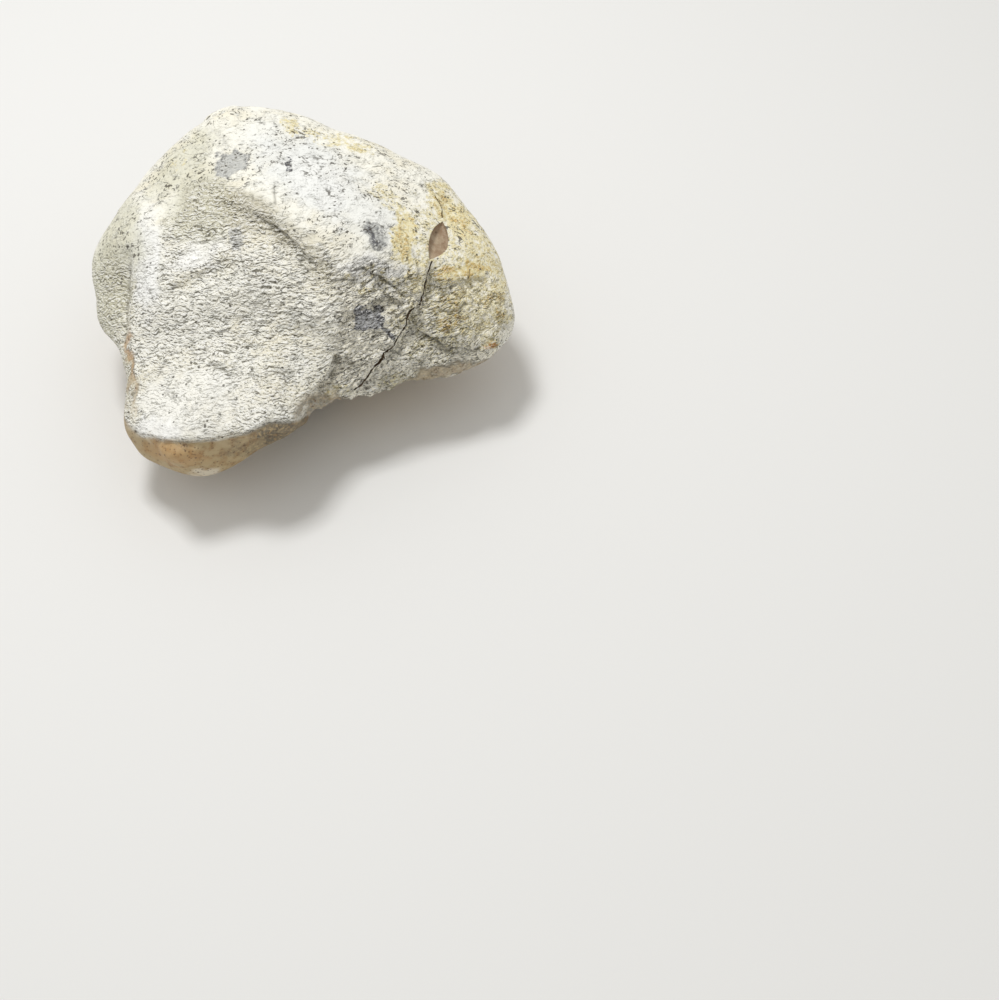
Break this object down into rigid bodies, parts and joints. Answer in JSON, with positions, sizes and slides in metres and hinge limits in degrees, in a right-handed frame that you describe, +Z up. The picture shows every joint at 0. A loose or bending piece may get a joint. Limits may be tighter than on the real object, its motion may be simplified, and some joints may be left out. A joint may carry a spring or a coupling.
{
  "type": "quartz geode",
  "caption": "Whole unopened quartz geode, a pale chalky stone about 62 mm across with a domed back, a broken front with a blunt tongue, a crack and a small leaf-shaped chip.",
  "frame": {"origin": "below the middle of the stone's bounding box, on the plane of the flat spot it rests on", "axes": "+X along the longest extent, to the right as seen from the front; +Y towards the domed back; +Z up"},
  "size_m": [0.062, 0.0564, 0.0323],
  "materials": {
    "weathered_stone": null
  },
  "bodies": {
    "root": {"geode": "weathered_stone"}
  },
  "joints": []
}
